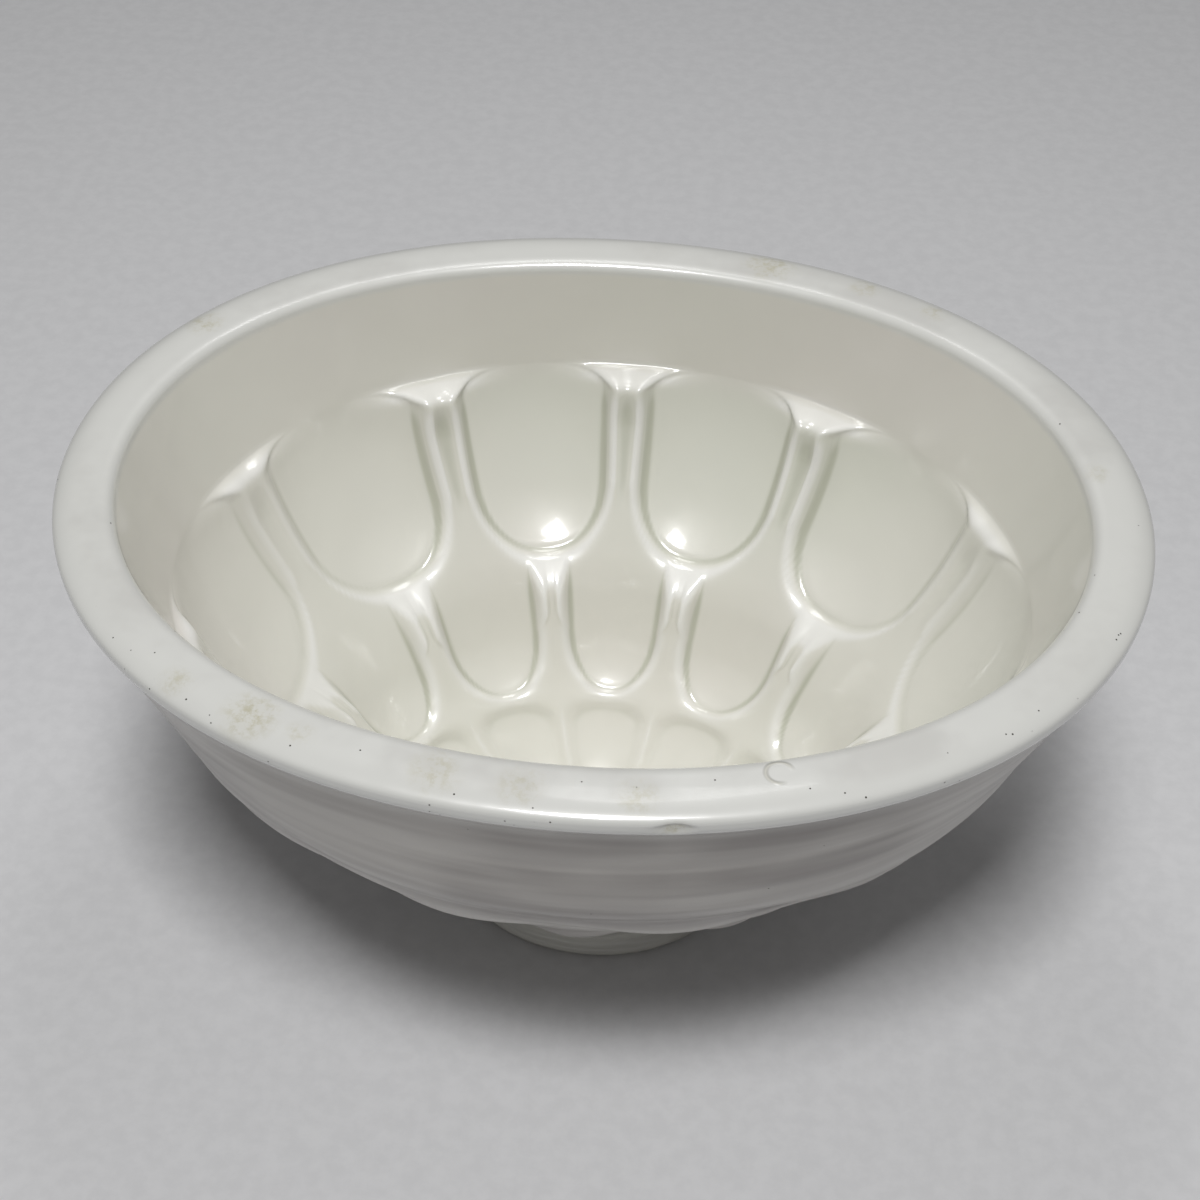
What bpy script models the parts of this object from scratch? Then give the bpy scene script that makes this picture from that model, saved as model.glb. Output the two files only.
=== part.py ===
"""Oval white pottery jelly mould, standing on its foot with the open side up.

The body is one moulded shell.  Inside, below a plain collar, three tiers of
spoon-shaped petals are pressed into the wall; each tier is set in by a ledge and
the second is staggered by half a pitch.  The low foot ring is a second piece of
clay, luted to the underside of the body.

World frame: origin at the centre of the foot's base, X along the oval, Z up.
Sizes below are in millimetres; depths run down from the rim.
"""

import math

import bmesh
import bpy
import numpy as np

MM = 0.001

# Overall size
RIM_LENGTH = 187.0
RIM_WIDTH = 148.0
RIM_FULLNESS = 0.014

# Rim
RIM_THICKNESS_ENDS = 10.4
RIM_THICKNESS_SIDES = 10.9
RIM_OUTER_ROUND = 1.8
RIM_INNER_ROUND = 1.8
RIM_BAND = 5.0
RIM_UNDERCUT = 2.0
UNDERCUT_HEIGHT = 3.0

# Collar, from the rim down to the first ledge
COLLAR_DEPTH = 22.8
COLLAR_DRAFT_ENDS = 6.9
COLLAR_DRAFT_SIDES = 0.8
COLLAR_WALL_ANGLE = 10.0

# Bowl that the petals' faces lie on: depth, and share of the collar's half width
TIER_1_DEPTH = 62.0
TIER_1_SHARE = 0.64
TIER_2_DEPTH = 83.0
TIER_2_SHARE = 0.39
FLOOR_DEPTH = 93.0
FLOOR_EDGE_SHARE = 0.20
FLOOR_EDGE_RISE = 1.5
LONG_FADE = 14.0

# Wall
WALL = 7.2
FLOOR_THICKNESS = 5.4
FOOT_RISE = 5.6

# Petals in each tier, evenly spaced as seen from the middle
PETALS = 10

# First tier: petal outline, its face and the bevel round it
PETAL_1_FILL = 0.75
PETAL_1_LENGTH = 39.0
PETAL_1_ROUND_END = 14.0
PETAL_1_HOLLOW_TOP = 3.4
PETAL_1_HOLLOW_LOW = 2.0
PETAL_1_HOLLOW_END = 3.2
BEVEL_1_SIDE_SLOPE = 1.7
BEVEL_1_END_STEP = 1.3
BEVEL_1_END_SLOPE = 0.6
LEDGE_ROLL = 2.4

# Second tier: groove above it, outline, face and bevel
GROOVE_2_HALF_WIDTH = 1.9
GROOVE_2_TOP_RISE = 1.6
GROOVE_2_TOP_LENGTH = 9.0
PETAL_2_SET_IN = 4.4
PETAL_2_FILL = 0.70
PETAL_2_OPENING = 24.0
PETAL_2_WIDE = 40.0
PETAL_2_LENGTH = 66.0
PETAL_2_ROUND_END = 12.5
PETAL_2_HOLLOW = 1.0
PETAL_2_HOLLOW_END = 1.8
BEVEL_2_SIDE_SLOPE = 1.3
BEVEL_2_END_STEP = 0.8
BEVEL_2_END_SLOPE = 0.45

# Third tier: web between the petals, outline, face and bevel
WEB_SET_IN = 3.5
WEB_HALF_WIDTH = 0.7
WEB_OPENING = 50.0
WEB_WIDE = 66.0
PETAL_3_SET_IN = 1.6
PETAL_3_FILL = 0.64
PETAL_3_START = 72.0
PETAL_3_LENGTH = 92.0
PETAL_3_ROUND_END = 6.0
PETAL_3_HOLLOW = 0.6
BEVEL_3_SLOPE = 1.1

# Crown of the jelly, in the middle of the floor
CROWN_RADIUS = 7.0

# How square the petals' round ends are, and the softness of crests and creases
PETAL_SQUARENESS = 2.3
PETAL_3_SQUARENESS = 2.6
CREST_SOFTNESS = 0.38
CREASE_SOFTNESS = 0.023

# Soft swellings of the outside that follow the petals: height, and runs where they
# come in and die away
OUTER_SWELL = 1.1
SWELL_START = (8.0, 34.0)
SWELL_TURN = (24.0, 47.0)
SWELL_END = (74.0, 88.0)

# Foot ring
FOOT_LENGTH = 56.0
FOOT_WIDTH = 45.0
FOOT_BAND = 6.5
FOOT_EDGE_ROUND = 1.5
FOOT_COVE = 1.3
LUTING_GAP = 0.3

# Grid: shares of each half pitch at which a column stands, on the creases and crests
COLUMN_SHARES = (0.0, 0.10, 1.0 - PETAL_2_FILL, 0.52, PETAL_1_FILL, 0.815, 0.88)

# Grid: inside columns to each column of the outside and of the rim
INNER_TO_OUTER = 2

# Grid: runs between which each tier's lower lip is looked for
LIP_1_SEARCH = (26.0, 50.0)
LIP_2_SEARCH = (55.0, 76.0)

# Grid: share of the collar's height at which its one ring lies, and shares of the
# ledge's roll
COLLAR_RING = 0.94
LEDGE_RINGS = (0.0, 0.4, 0.7, 1.0)

# Grid: runs of the outside's rings, and shares at which a ring lies between the
# ledge, the first tier's crease and lip, the second's, and the crown
OUTER_RUNS = (95.0, 88.0, 80.0, 71.0, 62.0, 52.0, 41.0, 29.0, 16.0, 3.0)
INNER_RINGS = (
    (0.18, 0.40, 0.62, 0.83, 0.95, 1.0),
    (0.24, 0.62, 1.0),
    (0.06, 0.16, 0.30, 0.46, 0.62, 0.78, 0.92, 1.0),
    (0.24, 0.62, 1.0),
    (0.05, 0.10, 0.16, 0.22, 0.30, 0.40, 0.52, 0.67, 0.84, 1.0),
)

RIM_HALF = (RIM_LENGTH / 2, RIM_WIDTH / 2)
RIM_INNER_HALF = (RIM_HALF[0] - RIM_THICKNESS_ENDS, RIM_HALF[1] - RIM_THICKNESS_SIDES)
LEDGE_HALF = (RIM_INNER_HALF[0] - COLLAR_DRAFT_ENDS, RIM_INNER_HALF[1] - COLLAR_DRAFT_SIDES)
LEDGE_ASPECT = LEDGE_HALF[1] / LEDGE_HALF[0]
HEIGHT = FLOOR_DEPTH + FLOOR_THICKNESS + FOOT_RISE


def smooth_step(low, high, value):
    """0 below low, 1 above high, smooth between."""
    share = np.clip((value - low) / (high - low), 0.0, 1.0)
    return share * share * (3.0 - 2.0 * share)


def soft_min(first, second):
    """Smaller of two heights, with the crest where they meet rounded off."""
    gap = np.abs(first - second)
    return np.minimum(first, second) - CREST_SOFTNESS * np.log1p(np.exp(-gap / CREST_SOFTNESS))


def soft_ramp(value):
    """Zero below zero, value above it, with a fillet at the crease."""
    return CREASE_SOFTNESS * np.logaddexp(0.0, value / CREASE_SOFTNESS)


def bowl_curve(samples=600):
    """Half width and depth along the bowl, from the first ledge to the middle."""
    half = LEDGE_HALF[1]
    stations = np.array(
        [
            (half, COLLAR_DEPTH),
            (half * TIER_1_SHARE, TIER_1_DEPTH),
            (half * TIER_2_SHARE, TIER_2_DEPTH),
            (half * FLOOR_EDGE_SHARE, FLOOR_DEPTH - FLOOR_EDGE_RISE),
            (0.0, FLOOR_DEPTH),
        ]
    )
    steps = np.linalg.norm(np.diff(stations, axis=0), axis=1)
    knots = np.concatenate(([0.0], np.cumsum(steps)))
    slopes = np.zeros_like(stations)
    slopes[1:-1] = (stations[2:] - stations[:-2]) / (knots[2:] - knots[:-2])[:, None]
    angle = math.radians(COLLAR_WALL_ANGLE)
    slopes[0] = (-math.sin(angle), math.cos(angle))
    slopes[-1] = (-1.0, 0.0)
    at = np.linspace(0.0, knots[-1], samples)
    piece = np.clip(np.searchsorted(knots, at, side="right") - 1, 0, len(steps) - 1)
    span = steps[piece][:, None]
    share = ((at - knots[piece]) / steps[piece])[:, None]
    return (
        (1 + 2 * share) * (1 - share) ** 2 * stations[piece]
        + share * (1 - share) ** 2 * span * slopes[piece]
        + share**2 * (3 - 2 * share) * stations[piece + 1]
        + share**2 * (share - 1) * span * slopes[piece + 1]
    )


BOWL = bowl_curve()
BOWL_RUN = np.concatenate(([0.0], np.cumsum(np.linalg.norm(np.diff(BOWL, axis=0), axis=1))))
BOWL_SLOPE = np.gradient(BOWL, BOWL_RUN, axis=0)
RUN_END = float(BOWL_RUN[-1])


def bowl_at(run):
    """Half width, depth and direction of the bowl at a distance down its wall."""
    width = np.interp(run, BOWL_RUN, BOWL[:, 0])
    depth = np.interp(run, BOWL_RUN, BOWL[:, 1])
    inward = np.interp(run, BOWL_RUN, BOWL_SLOPE[:, 0])
    down = np.interp(run, BOWL_RUN, BOWL_SLOPE[:, 1])
    size = np.hypot(inward, down)
    return width / LEDGE_HALF[1], depth, inward / size, down / size


def bowl_half(share):
    """Half length and half width of the bowl where it has narrowed to this share."""
    width = LEDGE_HALF[1] * share
    longer = np.tanh(width / LONG_FADE) / math.tanh(LEDGE_HALF[1] / LONG_FADE)
    return width + (LEDGE_HALF[0] - LEDGE_HALF[1]) * longer, width


def petal_angle(angle):
    """Angle seen from the middle, from the angle that draws the ledge's ellipse."""
    return np.arctan2(LEDGE_ASPECT * np.sin(angle), np.cos(angle))


def ellipse_angle(turn):
    """The angle that draws the ledge's ellipse, from the angle seen from the middle."""
    return np.arctan2(np.sin(turn) / LEDGE_ASPECT, np.cos(turn))


def oval(half_length, half_width, angle, fullness=0.0):
    """Point on an oval that stands proud of an ellipse at its four shoulders."""
    out = 1.0 + fullness * np.sin(2.0 * angle) ** 2
    return half_length * np.cos(angle) * out, half_width * np.sin(angle) * out


def oval_normal(angle, share):
    """Outward direction in plan of the bowl's oval at this share."""
    length, width = bowl_half(share)
    east = width * np.cos(angle)
    north = length * np.sin(angle)
    size = np.hypot(east, north)
    return east / size, north / size


def side_step(angle, share, offset):
    """Distance round the wall from the nearest petal centre, and the pitch there."""
    pitch = 2.0 * math.pi / PETALS
    turn = (petal_angle(angle) - offset + pitch / 2) % pitch - pitch / 2
    length, width = bowl_half(share)
    spread = LEDGE_ASPECT / (np.cos(angle) ** 2 + (LEDGE_ASPECT * np.sin(angle)) ** 2)
    metric = np.hypot(length * np.sin(angle), width * np.cos(angle)) / spread
    return np.abs(turn) * metric, pitch * metric


def reach_of(parts, squareness):
    """How far out of a petal's outline a point is: 1 on the outline."""
    return sum(part**squareness for part in parts) ** (1.0 / squareness)


def petal_height(side, run, half_width, length, round_end, hollows, bevel):
    """Height of one petal's face and bevel above the bowl, open at its top.

    The bevel is straight at the sides; at the end it is a short step and a slope.
    """
    side_slope, end_step, end_slope = bevel
    below = np.maximum(run - (length - round_end), 0.0) / round_end
    reach = reach_of((side / half_width, below), PETAL_SQUARENESS)
    toward_end = (below / np.maximum(reach, below + 1e-9)) ** 2
    face = hollows[0] + (hollows[1] - hollows[0]) * toward_end
    beyond = soft_ramp(reach - 1.0)
    side_rise = side_slope * half_width * beyond
    end_rise = side_slope * round_end * beyond
    end_rise = np.minimum(end_rise, end_step + end_slope * round_end * beyond)
    rise = side_rise + (end_rise - side_rise) * toward_end
    return face * np.minimum(reach, 1.0) ** 2 + rise


def surfaces(angle, run):
    """Heights above the bowl of the three tiers' petals and of the web below the ribs."""
    share = bowl_at(run)[0]
    half = math.pi / PETALS

    side, pitch = side_step(angle, share, 0.0)
    low = smooth_step(0.0, PETAL_1_LENGTH - PETAL_1_ROUND_END, run)
    hollow = PETAL_1_HOLLOW_TOP + (PETAL_1_HOLLOW_LOW - PETAL_1_HOLLOW_TOP) * low
    first = petal_height(
        side, run, pitch * PETAL_1_FILL / 2, PETAL_1_LENGTH, PETAL_1_ROUND_END,
        (hollow, PETAL_1_HOLLOW_END),
        (BEVEL_1_SIDE_SLOPE, BEVEL_1_END_STEP, BEVEL_1_END_SLOPE),
    )

    side, pitch = side_step(angle, share, half)
    wide = smooth_step(PETAL_2_OPENING, PETAL_2_WIDE, run)
    half_width = GROOVE_2_HALF_WIDTH + (pitch * PETAL_2_FILL / 2 - GROOVE_2_HALF_WIDTH) * wide
    set_in = PETAL_2_SET_IN * (1.0 - smooth_step(PETAL_1_LENGTH, PETAL_2_LENGTH, run))
    groove_rise = GROOVE_2_TOP_RISE * (1.0 - smooth_step(0.0, GROOVE_2_TOP_LENGTH, run))
    second = set_in + groove_rise + petal_height(
        side, run, half_width, PETAL_2_LENGTH, PETAL_2_ROUND_END,
        (PETAL_2_HOLLOW, PETAL_2_HOLLOW_END),
        (BEVEL_2_SIDE_SLOPE, BEVEL_2_END_STEP, BEVEL_2_END_SLOPE),
    )

    rib_side, rib_pitch = side_step(angle, share, 0.0)
    spread = smooth_step(WEB_OPENING, WEB_WIDE, run)
    web_half = WEB_HALF_WIDTH + rib_pitch / 2 * spread
    fade = 1.0 - smooth_step(PETAL_3_START, RUN_END - CROWN_RADIUS, run)
    web = set_in + WEB_SET_IN * fade + BEVEL_2_SIDE_SLOPE * np.maximum(rib_side - web_half, 0.0)

    start = np.maximum(PETAL_3_START + PETAL_3_ROUND_END - run, 0.0) / PETAL_3_ROUND_END
    end = np.maximum(run - PETAL_3_LENGTH + PETAL_3_ROUND_END, 0.0) / PETAL_3_ROUND_END
    across = side / (pitch * PETAL_3_FILL / 2)
    reach = reach_of((across, start, end), PETAL_3_SQUARENESS)
    bevel = BEVEL_3_SLOPE * PETAL_3_ROUND_END * soft_ramp(reach - 1.0)
    third = PETAL_3_SET_IN * fade + PETAL_3_HOLLOW * np.minimum(reach, 1.0) ** 2 + bevel

    return first, second, third, web


def relief(angle, run):
    """Height of the moulded wall above the bowl, in from the bowl's surface."""
    first, second, third, web = surfaces(angle, run)
    moulded = soft_min(first, soft_min(second, soft_min(third, web)))
    return np.maximum(moulded, 0.0) * smooth_step(0.0, LEDGE_ROLL, run)


def inner_point(angle, run):
    """Point on the moulded inside, at a distance down the wall from the first ledge."""
    share, depth, inward, down = bowl_at(run)
    height = relief(angle, run)
    x, y = oval(*bowl_half(share), angle)
    east, north = oval_normal(angle, np.maximum(share, 0.01))
    return x - east * down * height, y - north * down * height, depth + inward * height


def wall_at(run):
    """Thickness of clay behind the bowl."""
    return WALL + (FLOOR_THICKNESS - WALL) * smooth_step(0.0, PETAL_2_LENGTH, run)


def outer_point(angle, run, proud=0.0):
    """Point on the outside, behind the bowl point at the same run."""
    share, depth, inward, down = bowl_at(run)
    window = smooth_step(*SWELL_START, run) * (1.0 - smooth_step(*SWELL_END, run))
    turned = 1.0 - 2.0 * smooth_step(*SWELL_TURN, run)
    swell = OUTER_SWELL * window * turned * np.cos(PETALS * petal_angle(angle))
    thick = wall_at(run) + swell + proud
    x, y = oval(*bowl_half(share), angle)
    east, north = oval_normal(angle, np.maximum(share, 0.01))
    return x + east * down * thick, y + north * down * thick, depth - inward * thick


def column_angles():
    """Angles of the grid's columns, the same shares on both sides of every petal."""
    half = np.array(COLUMN_SHARES)
    shares = np.concatenate((half, [1.0], 2.0 - half[:0:-1]))
    steps = np.arange(0, 2 * PETALS, 2)[:, None]
    return ellipse_angle((steps + shares[None, :]).ravel() * math.pi / PETALS)


def rim_ring(angles, half, inset, depth):
    """Ring of the rim, set in from one of its two ovals."""
    x, y = oval(half[0] - inset, half[1] - inset, angles, RIM_FULLNESS)
    return x, y, np.full_like(angles, depth)


def turn_share(angles, offset):
    """0 at the petals' centres, 1 half a pitch away."""
    pitch = 2.0 * math.pi / PETALS
    turn = (petal_angle(angles) - offset + pitch / 2) % pitch - pitch / 2
    return np.abs(turn) / (pitch / 2)


def crease_run(angles, offset, fill, length, round_end):
    """Run of the crease round a tier's petal faces, lowest at their centres."""
    across = np.minimum(turn_share(angles, offset) / fill, 1.0)
    return length - round_end + round_end * (1.0 - across**PETAL_SQUARENESS) ** (
        1.0 / PETAL_SQUARENESS
    )


def lip_run(angles, search, tier):
    """Run at which a tier's bevel rises through the surfaces below it."""
    runs = np.linspace(*search, 200)[:, None]
    heights = surfaces(angles[None, :], runs)
    through = heights[tier] > np.minimum.reduce(heights[tier + 1:])
    through[-1] = True
    return runs[np.argmax(through, axis=0), 0]


def inner_lines(angles):
    """Runs of the lines that the inside's rings are set out between."""
    half = math.pi / PETALS
    return (
        np.full_like(angles, LEDGE_ROLL),
        crease_run(angles, 0.0, PETAL_1_FILL, PETAL_1_LENGTH, PETAL_1_ROUND_END),
        lip_run(angles, LIP_1_SEARCH, 0),
        crease_run(angles, half, PETAL_2_FILL, PETAL_2_LENGTH, PETAL_2_ROUND_END),
        lip_run(angles, LIP_2_SEARCH, 1),
        np.full_like(angles, RUN_END - CROWN_RADIUS),
    )


def outer_rings(angles):
    """Rings of the outside, from under the floor to the rim's outer round."""
    rings = []
    for run in OUTER_RUNS:
        rings.append(outer_point(angles, np.full_like(angles, run)))
    rings.append(rim_ring(angles, RIM_HALF, RIM_UNDERCUT, RIM_BAND + UNDERCUT_HEIGHT))
    rings.append(rim_ring(angles, RIM_HALF, 0.0, RIM_BAND))
    for turn in np.linspace(0.0, math.pi / 2, 3):
        inset = RIM_OUTER_ROUND * (1.0 - math.cos(turn))
        depth = RIM_OUTER_ROUND * (1.0 - math.sin(turn))
        rings.append(rim_ring(angles, RIM_HALF, inset, depth))
    return rings


def inner_rings(angles):
    """Rings of the inside, from the rim's inner round down to the crown."""
    rings = []
    for turn in np.linspace(0.0, math.pi / 2, 3):
        inset = -RIM_INNER_ROUND * (1.0 - math.sin(turn))
        depth = RIM_INNER_ROUND * (1.0 - math.cos(turn))
        rings.append(rim_ring(angles, RIM_INNER_HALF, inset, depth))
    edge = rings[-1]
    ledge = inner_point(angles, np.zeros_like(angles))
    rings.append(tuple(high + (low - high) * COLLAR_RING for high, low in zip(edge, ledge)))
    for share in LEDGE_RINGS:
        rings.append(inner_point(angles, np.full_like(angles, LEDGE_ROLL * share)))
    lines = inner_lines(angles)
    for top, bottom, shares in zip(lines[:-1], lines[1:], INNER_RINGS):
        for share in shares:
            rings.append(inner_point(angles, top + (bottom - top) * share))
    return rings


def bridge(work, lower, upper):
    """Faces between two rings; the upper one may have several points to each lower one."""
    times = len(upper) // len(lower)
    for i, corner in enumerate(lower):
        after = lower[(i + 1) % len(lower)]
        over = [upper[(i * times + k) % len(upper)] for k in range(times, -1, -1)]
        work.faces.new((corner, after, *over))


def closed_mesh(name, rings, cap_start, cap_end):
    """Mesh of stacked rings, closed by a fan at each end or joined end to end."""
    work = bmesh.new()
    rows = []
    for x, y, depth in rings:
        points = zip(x, y, HEIGHT - depth)
        rows.append([work.verts.new((a * MM, b * MM, c * MM)) for a, b, c in points])
    for lower, upper in zip(rows[:-1], rows[1:]):
        bridge(work, lower, upper)
    if cap_start is None:
        bridge(work, rows[-1], rows[0])
    else:
        for row, depth in ((rows[0], cap_start), (rows[-1], cap_end)):
            middle = work.verts.new((0.0, 0.0, (HEIGHT - depth) * MM))
            for first, second in zip(row, row[1:] + row[:1]):
                work.faces.new((first, second, middle))
    bmesh.ops.recalc_face_normals(work, faces=work.faces)
    mesh = bpy.data.meshes.new(name)
    work.to_mesh(mesh)
    work.free()
    mesh.shade_smooth()
    mesh.set_sharp_from_angle(angle=math.radians(50.0))
    return mesh


def glaze(name, colour, roughness):
    """White glazed earthenware."""
    material = bpy.data.materials.new(name)
    material.use_nodes = True
    shader = material.node_tree.nodes["Principled BSDF"]
    shader.inputs["Base Color"].default_value = (*colour, 1.0)
    shader.inputs["Roughness"].default_value = roughness
    shader.inputs["Metallic"].default_value = 0.0
    return material


def add_piece(name, mesh, material):
    """Put a mesh in the scene as a named piece."""
    mesh.materials.append(material)
    piece = bpy.data.objects.new(name, mesh)
    bpy.context.scene.collection.objects.link(piece)
    return piece


def make_body():
    """The pressed shell: rim, collar, three tiers of petals and the outside."""
    angles = column_angles()
    even = np.linspace(0.0, 2.0 * math.pi, len(angles) // INNER_TO_OUTER, endpoint=False)
    rings = outer_rings(even) + inner_rings(angles)
    floor_height = float(relief(np.array([0.0]), np.array([RUN_END]))[0])
    mesh = closed_mesh("mould_body", rings, FLOOR_DEPTH + FLOOR_THICKNESS, FLOOR_DEPTH - floor_height)
    return add_piece("mould_body", mesh, glaze("cream_glaze", (0.80, 0.78, 0.72), 0.12))


def foot_ring_rings(angles):
    """Closed loop of rings: base, outside with its cove, seat on the body, inside."""
    rings = []

    def foot_oval(inset, depth):
        x, y = oval(FOOT_LENGTH / 2 - inset, FOOT_WIDTH / 2 - inset, angles)
        return x, y, np.full_like(angles, depth)

    rings.append(foot_oval(FOOT_BAND - FOOT_EDGE_ROUND, HEIGHT))
    rings.append(foot_oval(FOOT_EDGE_ROUND, HEIGHT))
    rings.append(foot_oval(FOOT_EDGE_ROUND * 0.3, HEIGHT - FOOT_EDGE_ROUND * 0.3))
    rings.append(foot_oval(0.0, HEIGHT - FOOT_EDGE_ROUND))
    outer_run = run_behind(angles, 0.0)
    inner_run = run_behind(angles, FOOT_BAND)
    top = outer_point(angles, outer_run, LUTING_GAP)
    base = foot_oval(FOOT_COVE, HEIGHT - FOOT_EDGE_ROUND)
    for share in (0.45, 0.75):
        ring = [low + (high - low) * share for low, high in zip(base, top)]
        rings.append(tuple(ring))
    for share in np.linspace(0.0, 1.0, 5):
        run = outer_run + (inner_run - outer_run) * share
        rings.append(outer_point(angles, run, LUTING_GAP))
    rings.append(foot_oval(FOOT_BAND, HEIGHT - FOOT_EDGE_ROUND))
    return rings


def run_behind(angles, inset):
    """Runs at which the outside of the shell stands over the foot's inset oval."""
    length = outer_point(np.zeros_like(BOWL_RUN), BOWL_RUN)[0]
    width = outer_point(np.full_like(BOWL_RUN, math.pi / 2), BOWL_RUN)[1]
    ends = np.interp(inset - FOOT_LENGTH / 2, -length, BOWL_RUN)
    sides = np.interp(inset - FOOT_WIDTH / 2, -width, BOWL_RUN)
    return ends + (sides - ends) * np.sin(angles) ** 2


def make_foot():
    """The foot ring, luted to the underside of the body."""
    angles = np.linspace(0.0, 2.0 * math.pi, 60, endpoint=False)
    mesh = closed_mesh("foot_ring", foot_ring_rings(angles), None, None)
    return add_piece("foot_ring", mesh, glaze("foot_glaze", (0.78, 0.76, 0.71), 0.15))


def main():
    """Clear the scene and build both pieces."""
    for old in list(bpy.data.objects):
        bpy.data.objects.remove(old, do_unlink=True)
    make_body()
    make_foot()


main()
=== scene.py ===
"""Looks of an oval white pottery jelly mould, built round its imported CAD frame.

The glazed shell and its foot are modelled again as fine meshes with the soft edges
that a thick glaze leaves, and stand in for the faceted solids.  Lengths are in
millimetres where no other unit is named; depths run down from the rim, and a run is a
distance down the bowl's wall from the first ledge.
"""

import math

import bpy
import numpy as np
from mathutils import Matrix, Vector


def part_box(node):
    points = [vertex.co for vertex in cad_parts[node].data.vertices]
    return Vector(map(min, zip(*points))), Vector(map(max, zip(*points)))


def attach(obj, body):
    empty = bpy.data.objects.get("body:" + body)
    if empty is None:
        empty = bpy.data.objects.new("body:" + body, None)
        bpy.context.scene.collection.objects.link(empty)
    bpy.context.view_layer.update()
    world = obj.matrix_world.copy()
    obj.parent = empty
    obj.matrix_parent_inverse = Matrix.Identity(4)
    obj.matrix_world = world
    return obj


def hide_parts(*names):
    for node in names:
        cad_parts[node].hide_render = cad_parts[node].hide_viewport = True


MM = 0.001

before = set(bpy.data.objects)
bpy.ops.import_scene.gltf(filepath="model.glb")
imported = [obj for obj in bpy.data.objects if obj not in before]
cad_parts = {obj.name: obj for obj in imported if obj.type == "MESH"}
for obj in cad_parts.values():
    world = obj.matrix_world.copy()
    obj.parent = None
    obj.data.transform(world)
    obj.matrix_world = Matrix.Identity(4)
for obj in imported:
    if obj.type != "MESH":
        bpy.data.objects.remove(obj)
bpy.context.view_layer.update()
body_low, body_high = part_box("mould_body")
foot_low, foot_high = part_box("foot_ring")

# Overall size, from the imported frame
RIM_LENGTH = (body_high.x - body_low.x) / MM
RIM_WIDTH = (body_high.y - body_low.y) / MM
HEIGHT = body_high.z / MM
FOOT_LENGTH = (foot_high.x - foot_low.x) / MM
FOOT_WIDTH = (foot_high.y - foot_low.y) / MM
RIM_FULLNESS = 0.014

# Rim
RIM_THICKNESS_ENDS = 10.4
RIM_THICKNESS_SIDES = 10.9
RIM_OUTER_ROUND = (6.0, 2.0)
RIM_INNER_ROUND = (2.4, 1.9)
RIM_BAND = 2.8
RIM_UNDERCUT = 1.6
UNDERCUT_HEIGHT = 3.0

# Collar
COLLAR_DEPTH = 22.8
COLLAR_DRAFT_ENDS = 6.9
COLLAR_DRAFT_SIDES = 0.8
COLLAR_WALL_ANGLE = 10.0

# Bowl that the petals' faces lie on: depth, and share of the collar's half width
TIER_1_DEPTH = 62.0
TIER_1_SHARE = 0.64
TIER_2_DEPTH = 83.0
TIER_2_SHARE = 0.39
FLOOR_DEPTH = 93.0
FLOOR_EDGE_SHARE = 0.20
FLOOR_EDGE_RISE = 1.5
LONG_FADE = 14.0

# Wall
WALL = 7.2
FLOOR_THICKNESS = 5.4

# Petals
PETALS = 10
PETAL_1_FILL = 0.75
PETAL_1_LENGTH = 38.2
PETAL_1_ROUND_END = 14.0
PETAL_1_HOLLOW_TOP = 3.4
PETAL_1_HOLLOW_LOW = 2.0
PETAL_1_HOLLOW_END = 3.0
PETAL_1_TOP_ROUND = 4.5
PETAL_1_GROOVE = (0.75, 1.0)
BEVEL_1_SIDE_SLOPE = 1.7
BEVEL_1_END_STEP = 0.5
BEVEL_1_END_SLOPE = 0.58
LEDGE_ROLL = 1.8
LEDGE_ROLL_POWER = 1.6
GROOVE_2_HALF_WIDTH = 1.9
GROOVE_2_TOP_RISE = 2.6
GROOVE_2_TOP_LENGTH = 12.0
PETAL_2_TOP_ROUND = 0.01
PETAL_2_SET_IN = 4.4
PETAL_2_FILL = 0.70
PETAL_2_OPENING = 24.0
PETAL_2_WIDE = 40.0
PETAL_2_LENGTH = 67.0
PETAL_2_ROUND_END = 12.5
PETAL_2_HOLLOW = 1.0
PETAL_2_HOLLOW_END = 2.5
PETAL_2_GROOVE = (0.45, 0.7)
BEVEL_2_SIDE_SLOPE = 1.3
BEVEL_2_END_STEP = 0.3
BEVEL_2_END_SLOPE = 0.7
WEB_SET_IN = 3.5
WEB_HALF_WIDTH = 0.7
WEB_OPENING = 50.0
WEB_WIDE = 66.0
PETAL_3_SET_IN = 1.6
PETAL_3_FILL = 0.76
PETAL_3_START = 70.8
PETAL_3_LENGTH = 92.0
PETAL_3_ROUND_END = 5.0
PETAL_3_HOLLOW = 0.6
BEVEL_3_SLOPE = 1.1
CROWN_RADIUS = 7.0

# Softness that the glaze gives to crests and creases
CREST_SOFTNESS = 0.8
LEDGE_CREST_SOFTNESS = 1.7
LEDGE_CREST_LENGTH = 11.0
END_SOFTNESS = 1.1
END_LOWERING = 0.5
END_LOWERED_RUN = (40.0, 62.0)
CREASE_SOFTNESS = 0.045
PETAL_SQUARENESS = 2.3
PETAL_3_SQUARENESS = 2.6

# Outside with its swells and ripples (length and height of a wave), and foot
OUTER_SWELL = 1.1
SWELL_START = (8.0, 34.0)
SWELL_TURN = (24.0, 47.0)
SWELL_END = (74.0, 88.0)
RIPPLE_START = (4.0, 14.0)
RIPPLE_END = (56.0, 68.0)
BROAD_RIPPLE = (15.0, 0.45)
FINE_RIPPLE = (4.6, 0.14)
FINE_RIPPLE_END = (32.0, 48.0)
FOOT_BAND = 6.5
FOOT_EDGE_ROUND = 2.0
FOOT_COVE = 1.3

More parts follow.
